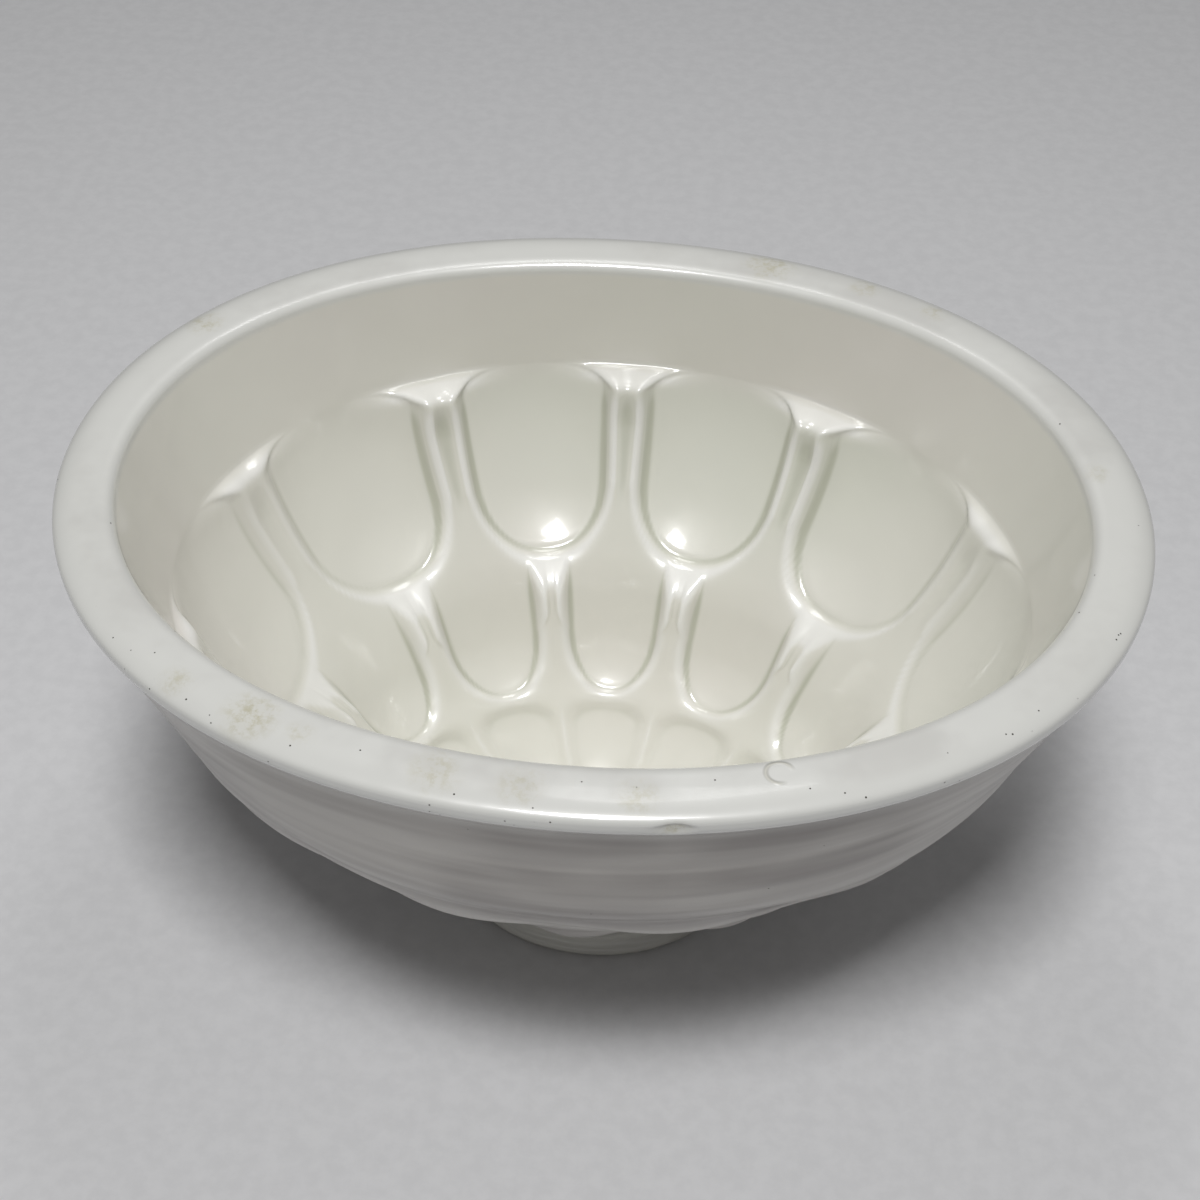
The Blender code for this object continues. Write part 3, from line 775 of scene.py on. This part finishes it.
def body_glaze():
    """White glaze over cream clay, pooled in the creases and worn on the rim, with painted
    shade in the creases and outside and painted light on the crests, bevels and ledge.
    """
    weave = Weave("body_glaze_look")
    rim = weave.attribute("rim")
    top = weave.attribute("worn")
    outside = weave.attribute("outside")
    pool_and_painted_shading = weave.attribute("pool_and_painted_shading")

    cloud = weave.span(weave.noise(16.0, 1.0, 0.4), 0.3, 0.7)
    drift = weave.span(weave.noise(9.0, 1.0, 0.4), 0.36, 0.64)
    colour = weave.mix(cloud, CREAM, ROSY_CREAM)
    green = weave.span(drift, 0.0, 1.0, 0.15, 1.0)
    green = weave.math("MULTIPLY", weave.attribute("deep"), green)
    colour = weave.mix(green, colour, GREEN_CREAM)
    # Painted light: the up-facing bevels and the ledge's shelf are painted paler
    colour = weave.mix(weave.math("MULTIPLY", weave.attribute("bevel_light"), 0.9), colour, THIN_GLAZE_AND_PAINTED_LIGHT)
    # Painted shade in the creases over pooled glaze, and painted light on the crests
    colour = weave.mix(weave.span(pool_and_painted_shading, 0.02, 0.42, 0.0, 0.85), colour, POOLED_AND_SHADED)
    colour = weave.mix(weave.span(pool_and_painted_shading, -0.5, -0.04, 0.9, 0.0), colour, THIN_GLAZE_AND_PAINTED_LIGHT)

    bands = weave.noise(1.0, 2.0, 0.5, weave.stretch((12.0, 12.0, 150.0)))
    smudge = weave.noise(1.0, 2.0, 0.5, weave.stretch((22.0, 22.0, 48.0)))
    shade = weave.span(bands, 0.38, 0.62, 0.0, 0.5)
    shade = weave.math("ADD", shade, weave.span(smudge, 0.40, 0.60, 0.0, 0.45))
    # Painted shade: the ripples' hollows are painted darker and their crests paler, partly as
    # thicker glaze in the hollows
    hollows = weave.span(weave.attribute("wave"), -0.45, 0.35, 0.35, -0.25)
    shade = weave.math("ADD", shade, hollows)
    outer = weave.mix(shade, OUTSIDE_CREAM_IN_PAINTED_SHADE, OUTSIDE_GREY_IN_PAINTED_SHADE)
    colour = weave.mix(outside, colour, outer)

    smear = weave.noise(42.0, 4.0, 0.6)
    greyed = weave.math("MULTIPLY", top, weave.span(smear, 0.40, 0.68, 0.0, 0.8))
    worn = weave.mix(greyed, WORN_RIM, RIM_GREY)
    grime = weave.span(weave.noise(520.0, 4.0, 0.75), 0.42, 0.66, 0.15, 0.75)
    stain = weave.math("MULTIPLY", weave.attribute("stain"), grime)
    worn = weave.mix(stain, worn, TAN_STAIN)
    colour = weave.mix(rim, colour, worn)

    distance, pick = weave.cells(760.0)
    dot = weave.span(distance, 0.05, 0.14, 1.0, 0.0)
    likely = weave.math("ADD", pick, weave.math("MULTIPLY", weave.attribute("pinholes"), 0.34))
    pits = weave.math("MULTIPLY", dot, weave.span(likely, 0.93, 0.96))
    pits = weave.math("MULTIPLY", pits, weave.math("MAXIMUM", rim, outside))
    colour = weave.mix(pits, colour, PIT_DARK)

    away = weave.math("SUBTRACT", weave.distance(MARK_MIDDLE), MARK_RADIUS)
    mark = weave.span(weave.math("ABSOLUTE", away, 0.0), 0.0, MARK_WIDTH, 1.0, 0.0)
    gap = weave.span(weave.distance(MARK_GAP), *MARK_GAP_EDGE)
    mark = weave.math("MULTIPLY", mark, gap)
    colour = weave.mix(weave.math("MULTIPLY", mark, 0.28), colour, TAN_STAIN)
    weave.join(colour, weave.shader.inputs["Base Color"])

    handled = weave.noise(28.0, 4.0, 0.6)
    gloss = weave.span(handled, 0.3, 0.75, *GLOSS_ROUGHNESS)
    dull = weave.span(smear, 0.3, 0.7, *DULL_ROUGHNESS)
    duller = weave.math("MULTIPLY", top, weave.math("SUBTRACT", dull, gloss))
    weave.join(weave.math("ADD", gloss, duller), weave.shader.inputs["Roughness"])
    rubbed = weave.math("MULTIPLY", top, weave.span(smear, 0.35, 0.65, 0.75, 1.0))
    coat = weave.math("SUBTRACT", 1.0, rubbed)
    kept = weave.math("SUBTRACT", 1.0, weave.math("MULTIPLY", outside, OUTSIDE_COAT_LOSS))
    weave.join(weave.math("MULTIPLY", coat, kept), weave.shader.inputs["Coat Weight"])
    lost = weave.math("MULTIPLY", outside, OUTSIDE_SPECULAR_LOSS)
    level = weave.math("SUBTRACT", SPECULAR_LEVEL, lost)
    weave.join(level, weave.shader.inputs["Specular IOR Level"])
    weave.shader.inputs["Coat Roughness"].default_value = COAT_ROUGHNESS
    weave.shader.inputs["Coat IOR"].default_value = GLAZE_IOR
    weave.shader.inputs["IOR"].default_value = GLAZE_IOR

    normal = weave.bump(weave.noise(75.0, 2.0, 0.5), 0.00028)
    normal = weave.bump(weave.math("MULTIPLY", bands, outside), 0.0007, normal)
    normal = weave.bump(weave.math("MULTIPLY", pits, -1.0), 0.0003, normal)
    normal = weave.bump(mark, 0.0002, normal)
    weave.join(normal, weave.shader.inputs["Normal"])
    return weave.material


def foot_glaze():
    """The same glaze on the foot, greyer with painted shade, and wiped bare at its resting
    edge, whose pale clay is also a painted highlight.
    """
    weave = Weave("foot_glaze_look")
    bands = weave.noise(1.0, 3.0, 0.55, weave.stretch((14.0, 14.0, 260.0)), 0.4)
    # Painted shade: the foot's glaze is greyed in streaks with the outside's shaded grey
    colour = weave.mix(weave.span(bands, 0.3, 0.7, 0.0, 0.6), CREAM, OUTSIDE_GREY_IN_PAINTED_SHADE)
    bare = weave.attribute("bare")
    grit = weave.span(weave.noise(420.0, 4.0, 0.7), 0.40, 0.68)
    # Painted highlight: the bare resting edge is painted paler than the glaze
    clay = weave.mix(grit, BARE_CLAY_AND_EDGE_HIGHLIGHT, BARE_GRIT)
    colour = weave.mix(bare, colour, clay)
    weave.join(colour, weave.shader.inputs["Base Color"])
    gloss = weave.span(weave.noise(30.0, 3.0), 0.3, 0.75, *GLOSS_ROUGHNESS)
    rough = weave.math("MAXIMUM", gloss, weave.math("MULTIPLY", bare, BARE_ROUGHNESS))
    weave.join(rough, weave.shader.inputs["Roughness"])
    weave.join(weave.math("SUBTRACT", 1.0, bare), weave.shader.inputs["Coat Weight"])
    weave.shader.inputs["Coat Roughness"].default_value = FOOT_COAT_ROUGHNESS
    weave.shader.inputs["IOR"].default_value = GLAZE_IOR
    normal = weave.bump(bands, 0.0012)
    normal = weave.bump(weave.math("MULTIPLY", grit, bare), 0.00015, normal)
    weave.join(normal, weave.shader.inputs["Normal"])
    return weave.material


def run_behind(angles, inset):
    """Runs at which the outside of the shell stands over the foot's inset oval."""
    length = outer_point(np.zeros_like(BOWL_RUN), BOWL_RUN)[0]
    width = outer_point(np.full_like(BOWL_RUN, math.pi / 2), BOWL_RUN)[1]
    ends = np.interp(inset - FOOT_LENGTH / 2, -length, BOWL_RUN)
    sides = np.interp(inset - FOOT_WIDTH / 2, -width, BOWL_RUN)
    return ends + (sides - ends) * np.sin(angles) ** 2


def foot_rows(angles):
    """Closed loop of rows: base, outside with its cove, seat on the body, inside."""

    def foot_oval(inset, depth):
        """Level row of the foot, set in from its outline."""
        x, y = oval(FOOT_LENGTH / 2 - inset, FOOT_WIDTH / 2 - inset, angles)
        return x, y, np.full_like(angles, depth)

    rows = []
    for inset in np.linspace(FOOT_BAND - FOOT_EDGE_ROUND, FOOT_EDGE_ROUND, 6):
        rows.append(foot_oval(inset, HEIGHT))
    for inset, depth in reversed(round_over(FOOT_EDGE_ROUND, FOOT_EDGE_ROUND, 7)[:-1]):
        rows.append(foot_oval(inset, HEIGHT - depth))
    outer_run = run_behind(angles, 0.0)
    inner_run = run_behind(angles, FOOT_BAND)
    base = foot_oval(0.0, HEIGHT - FOOT_EDGE_ROUND)
    top = outer_point(angles, outer_run, 0.1)
    for share in np.linspace(0.0, 1.0, 14)[1:]:
        x, y, depth = (a + (b - a) * share for a, b in zip(base, top))
        narrow = 1.0 - FOOT_COVE * math.sin(math.pi * share**0.7) / np.hypot(x, y)
        rows.append((x * narrow, y * narrow, depth))
    for share in np.linspace(0.0, 1.0, 8)[1:]:
        run = outer_run + (inner_run - outer_run) * share
        rows.append(outer_point(angles, run, 0.1))
    rows.append(foot_oval(FOOT_BAND, HEIGHT - FOOT_EDGE_ROUND))
    return rows


def make_camera():
    """Camera at the photograph's viewing angle, fitted to the rim and the petals."""
    unit = RIM_LENGTH / 2 * MM
    distance = 4.017 * unit
    elevation = 0.72
    tilt = 0.053
    roll = -0.018
    yaw = -0.085
    focal_pixels = 2200.0
    image_pixels = 1200.0
    away = Vector((0.0, -math.cos(elevation), math.sin(elevation)))
    back = away.normalized()
    right = Vector((1.0, 0.0, 0.0))
    up = back.cross(right)
    turn = Matrix((right, up, back)).transposed()
    turn = turn @ Matrix.Rotation(-tilt, 3, "X") @ Matrix.Rotation(-roll, 3, "Z")
    around = Matrix.Rotation(-yaw, 3, "Z")
    pose = (around @ turn).to_4x4()
    pose.translation = around @ (away * distance) + Vector((0.0, 0.0, HEIGHT * MM))
    data = bpy.data.cameras.new("camera")
    data.sensor_fit = "HORIZONTAL"
    data.sensor_width = 36.0
    data.lens = focal_pixels / image_pixels * data.sensor_width
    data.clip_start = 0.01
    data.clip_end = 50.0
    camera = bpy.data.objects.new("camera", data)
    camera.matrix_world = pose
    bpy.context.scene.collection.objects.link(camera)
    bpy.context.scene.camera = camera


# Stage: half the floor's side, its two greys, and the world's and the lamps' strength
FLOOR_REACH = 3.0
FLOOR_DARK = (0.68, 0.68, 0.69)
FLOOR_LIGHT = (0.72, 0.72, 0.73)
WORLD_STRENGTH = 0.13
LAMP_TURN = math.radians(45.0)
LAMPS = (
    ("key", (0.0, -0.45, 1.15), 0.26, 8.8),
    ("rim_light", (0.0, 0.14, 0.46), 0.12, 0.29),
)


def soft_box(name, place, size, power):
    """Square studio lamp that faces the mould, turned corner down."""
    data = bpy.data.lights.new(name, "AREA")
    data.size = size
    data.energy = power
    lamp = bpy.data.objects.new(name, data)
    toward = Vector((0.0, 0.0, HEIGHT * MM / 2)) - Vector(place)
    aim = toward.to_track_quat("-Z", "Y").to_matrix()
    pose = (aim @ Matrix.Rotation(LAMP_TURN, 3, "Z")).to_4x4()
    pose.translation = place
    lamp.matrix_world = pose
    bpy.context.scene.collection.objects.link(lamp)


def make_stage():
    """Plain pale floor and soft studio light."""
    mesh = bpy.data.meshes.new("floor")
    reach = FLOOR_REACH
    corners = [(-reach, -reach, 0), (reach, -reach, 0), (reach, reach, 0), (-reach, reach, 0)]
    mesh.from_pydata(corners, [], [(0, 1, 2, 3)])
    weave = Weave("floor_paper")
    grain = weave.span(weave.noise(260.0, 3.0, 0.6), 0.3, 0.7)
    colour = weave.mix(grain, FLOOR_DARK, FLOOR_LIGHT)
    weave.join(colour, weave.shader.inputs["Base Color"])
    weave.shader.inputs["Roughness"].default_value = 0.9
    mesh.materials.append(weave.material)
    floor = bpy.data.objects.new("floor", mesh)
    bpy.context.scene.collection.objects.link(floor)
    world = bpy.data.worlds.new("studio")
    bpy.context.scene.world = world
    world.use_nodes = True
    background = world.node_tree.nodes["Background"]
    background.inputs["Color"].default_value = (1.0, 1.0, 1.0, 1.0)
    background.inputs["Strength"].default_value = WORLD_STRENGTH
    for lamp in LAMPS:
        soft_box(*lamp)


def make_foot():
    """The foot ring's mesh, bare where it rests."""
    mesh = grid_mesh("glazed_foot", foot_rows(column_angles()[::2]), None, None)
    heights = np.zeros(len(mesh.vertices) * 3)
    mesh.vertices.foreach_get("co", heights)
    heights = heights.reshape(-1, 3)[:, 2] / MM
    store(mesh, "bare", 1.0 - smooth_step(0.5, 1.5, heights))
    return mesh


def main():
    """Build the visible pieces, the stage and the camera."""
    shell = add_piece("glazed_shell", make_shell(), body_glaze())
    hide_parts("mould_body")
    foot = add_piece("glazed_foot", make_foot(), foot_glaze())
    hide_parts("foot_ring")
    make_stage()
    make_camera()
    bpy.context.scene.view_settings.view_transform = "Standard"


main()
